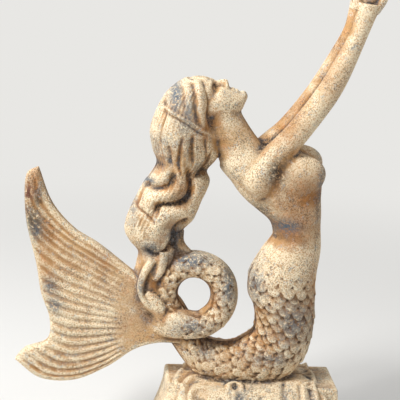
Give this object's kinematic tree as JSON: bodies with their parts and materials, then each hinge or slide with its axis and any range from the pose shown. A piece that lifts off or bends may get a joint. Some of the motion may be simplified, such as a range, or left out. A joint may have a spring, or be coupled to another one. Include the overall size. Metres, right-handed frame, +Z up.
{
  "type": "mermaid figurine",
  "caption": "Rusted cast iron mermaid arching back on a carved plinth, arms raised, tail coiled, to stand on a shelf.",
  "frame": {"origin": "centre of the plinth's flat underside", "axes": "+Z up from the plinth to the fingertips, +X the way the chest faces, +Y across the mould's parting plane"},
  "size_m": [0.2117, 0.0828, 0.2991],
  "materials": {
    "rusted_cast_iron": "sand-cast surface with a dry tan rust bloom, pale worn ridges and blue-grey bare iron patches"
  },
  "bodies": {
    "root": {"mermaid_casting": "rusted_cast_iron"}
  },
  "joints": []
}
